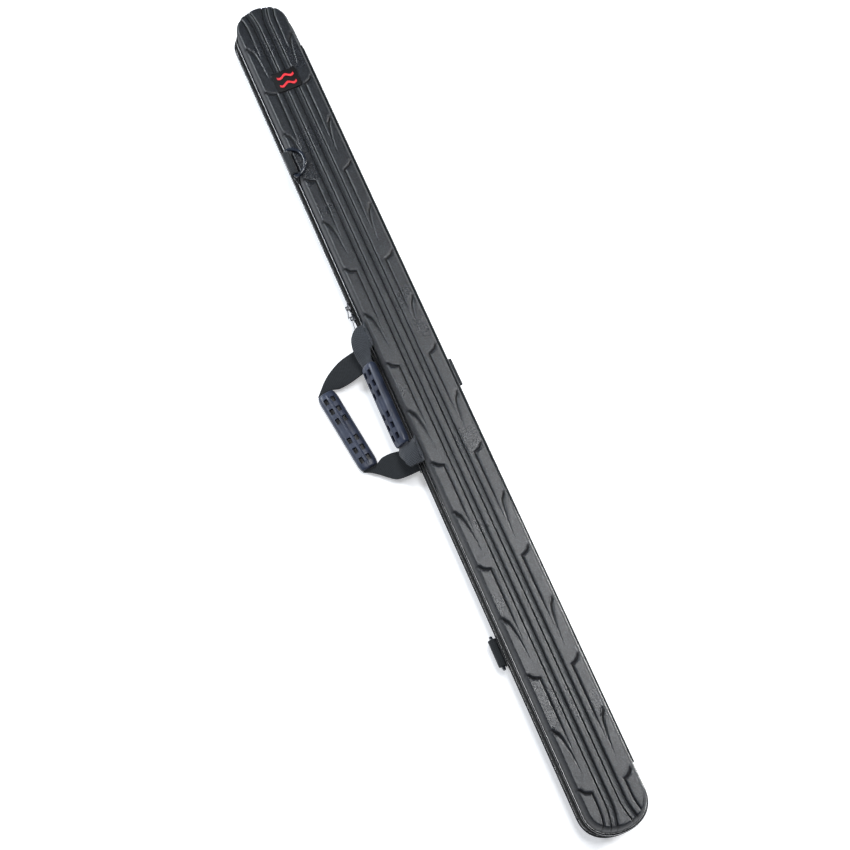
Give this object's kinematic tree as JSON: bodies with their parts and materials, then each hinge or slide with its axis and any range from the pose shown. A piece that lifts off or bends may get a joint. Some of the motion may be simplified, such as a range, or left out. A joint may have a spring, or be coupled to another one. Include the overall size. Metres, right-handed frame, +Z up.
{
  "type": "fishing rod case",
  "caption": "Long hard-shell fishing rod case with rounded ends, tyre-tread relief, zip closure, hinged lid, carry handles, D-rings and foam rod rests.",
  "frame": {"origin": "middle of the flat face under the base, where the case lies on a table", "axes": "+X along the case, -Y to the zip and the handles, +Y to the hinge, +Z up through the lid"},
  "size_m": [1.25, 0.1862, 0.0879],
  "materials": {
    "shell": "satin, fine grain",
    "rim": "glossy",
    "rivet": "blackened",
    "webbing": "woven",
    "webbing_grey": "woven",
    "zip_tape": "woven",
    "zip_teeth": "satin",
    "zip_metal": "satin, dark",
    "grip": "satin",
    "ring": "glossy",
    "badge": "matt",
    "badge_wave": "matt",
    "lining": "brushed knit",
    "foam": "closed-cell foam"
  },
  "bodies": {
    "base": {"base_shell": "shell", "base_rim": "rim", "base_zip_tape": "zip_tape", "base_zip_teeth": "zip_teeth", "zip_stop_left": "zip_metal", "zip_stop_right": "zip_metal", "hinge_band_base": "webbing", "rear_tab": "webbing", "base_lining": "lining", "rod_rest_1": "foam", "rod_rest_2": "foam", "rod_rest_3": "foam", "retainer_strap_1": "webbing", "retainer_strap_2": "webbing", "retainer_patch_1": "lining", "retainer_patch_2": "lining", "base_handle_anchor_left": "webbing", "base_handle_anchor_left_rivet_1": "rivet", "base_handle_anchor_left_rivet_2": "rivet", "base_handle_anchor_right": "webbing", "base_handle_anchor_right_rivet_1": "rivet", "base_handle_anchor_right_rivet_2": "rivet", "base_d_ring_tab": "webbing", "base_d_ring_tab_rivet_1": "rivet", "base_d_ring_tab_rivet_2": "rivet"},
    "lid": {"lid_shell": "shell", "lid_rim": "rim", "lid_zip_tape": "zip_tape", "lid_zip_teeth": "zip_teeth", "hinge_band_lid": "webbing", "lid_lining": "lining", "lid_pad_1": "foam", "lid_pad_2": "foam", "lid_pad_3": "foam", "badge_patch": "badge", "badge_wave_1": "badge_wave", "badge_wave_2": "badge_wave", "lid_handle_anchor_left": "webbing", "lid_handle_anchor_left_rivet_1": "rivet", "lid_handle_anchor_left_rivet_2": "rivet", "lid_handle_anchor_right": "webbing", "lid_handle_anchor_right_rivet_1": "rivet", "lid_handle_anchor_right_rivet_2": "rivet", "lid_d_ring_tab": "webbing", "lid_d_ring_tab_rivet_1": "rivet", "lid_d_ring_tab_rivet_2": "rivet"},
    "base_handle": {"base_grip": "grip", "base_handle_strap_left": "webbing", "base_handle_strap_right": "webbing"},
    "lid_handle": {"lid_grip": "grip", "lid_handle_strap_left": "webbing_grey", "lid_handle_strap_right": "webbing_grey"},
    "lid_ring": {"lid_d_ring": "ring"},
    "base_ring": {"base_d_ring": "ring"},
    "slider_left": {"zip_slider_left": "zip_metal"},
    "slider_right": {"zip_slider_right": "zip_metal"},
    "pull_left": {"zip_pull_left": "zip_metal"},
    "pull_right": {"zip_pull_right": "zip_metal"}
  },
  "joints": [
    {"name": "lid_hinge", "type": "hinge", "parent": "base", "child": "lid", "pos_m": [0, 0.0483, 0.04], "axis": [-1, 0, 0], "range_deg": [0, 172]},
    {"name": "base_handle_swing", "type": "hinge", "parent": "base", "child": "base_handle", "pos_m": [0, -0.04699, 0.022], "axis": [-1, 0, 0], "range_deg": [0, 45]},
    {"name": "lid_handle_swing", "type": "hinge", "parent": "lid", "child": "lid_handle", "pos_m": [0, -0.04151, 0.0595], "axis": [-1, 0, 0], "range_deg": [0, 70]},
    {"name": "lid_ring_swing", "type": "hinge", "parent": "lid", "child": "lid_ring", "pos_m": [-0.3625, -0.0425, 0.081], "axis": [1, 0, 0], "range_deg": [0, 150]},
    {"name": "base_ring_swing", "type": "hinge", "parent": "base", "child": "base_ring", "pos_m": [0.3625, -0.051, 0.0256], "axis": [-1, 0, 0], "range_deg": [0, 150]},
    {"name": "slider_left_slide", "type": "slide", "parent": "base", "child": "slider_left", "axis": [1, 0, 0], "range_m": [-0.43, 0]},
    {"name": "slider_right_slide", "type": "slide", "parent": "base", "child": "slider_right", "axis": [1, 0, 0], "range_m": [0, 0.7]},
    {"name": "pull_left_swing", "type": "hinge", "parent": "slider_left", "child": "pull_left", "pos_m": [-0.147, -0.04845, 0.04], "axis": [0, 0, -1], "range_deg": [0, 84]},
    {"name": "pull_right_swing", "type": "hinge", "parent": "slider_right", "child": "pull_right", "pos_m": [-0.131, -0.04845, 0.04], "axis": [0, 0, -1], "range_deg": [-6, 78]}
  ]
}
